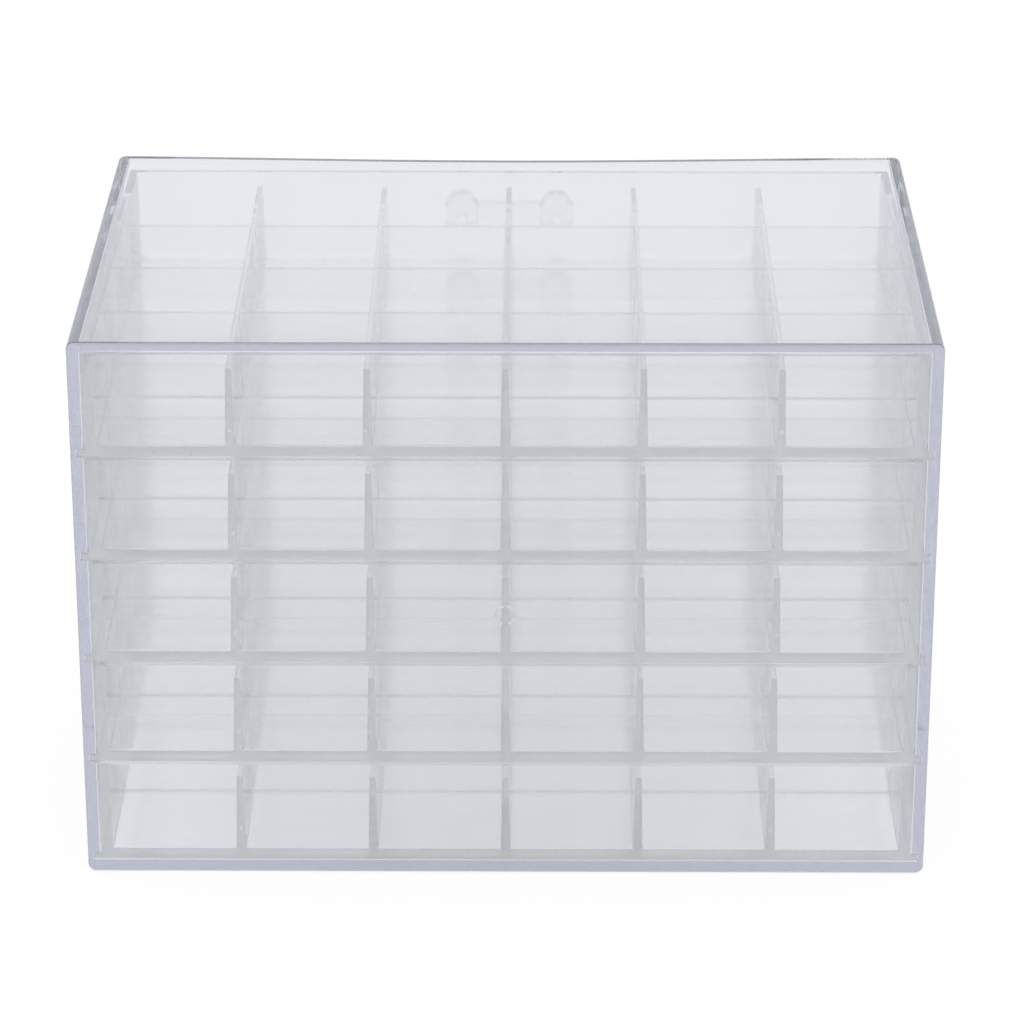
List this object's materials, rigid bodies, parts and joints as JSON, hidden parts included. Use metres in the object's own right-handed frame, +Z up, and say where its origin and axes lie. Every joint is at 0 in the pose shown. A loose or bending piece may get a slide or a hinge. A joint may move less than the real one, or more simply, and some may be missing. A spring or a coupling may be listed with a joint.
{
  "type": "compartment drawer box",
  "caption": "Clear desk-top box with stacked sliding drawers, each a grid of small open compartments with a handle of two domed posts and a bar.",
  "frame": {"origin": "centre of the case's underside", "axes": "+Z up; the drawers pull out towards -Y and the closed back is at +Y"},
  "size_m": [0.24, 0.1628, 0.163],
  "materials": {
    "case_clear": "clear, polished, faint lavender tint",
    "tray_clear": "clear, polished, faint grey-green tint",
    "handle_clear": "clear, polished"
  },
  "bodies": {
    "case": {"case": "case_clear"},
    "drawer_1": {"tray_1": "tray_clear", "handle_1": "handle_clear"},
    "drawer_2": {"tray_2": "tray_clear", "handle_2": "handle_clear"},
    "drawer_3": {"tray_3": "tray_clear", "handle_3": "handle_clear"},
    "drawer_4": {"tray_4": "tray_clear", "handle_4": "handle_clear"},
    "drawer_5": {"tray_5": "tray_clear", "handle_5": "handle_clear"}
  },
  "joints": [
    {"name": "drawer_1_slide", "type": "slide", "parent": "case", "child": "drawer_1", "axis": [0, -1, 0], "range_m": [0, 0.13]},
    {"name": "drawer_2_slide", "type": "slide", "parent": "case", "child": "drawer_2", "axis": [0, -1, 0], "range_m": [0, 0.13]},
    {"name": "drawer_3_slide", "type": "slide", "parent": "case", "child": "drawer_3", "axis": [0, -1, 0], "range_m": [0, 0.13]},
    {"name": "drawer_4_slide", "type": "slide", "parent": "case", "child": "drawer_4", "axis": [0, -1, 0], "range_m": [0, 0.13]},
    {"name": "drawer_5_slide", "type": "slide", "parent": "case", "child": "drawer_5", "axis": [0, -1, 0], "range_m": [0, 0.13]}
  ]
}
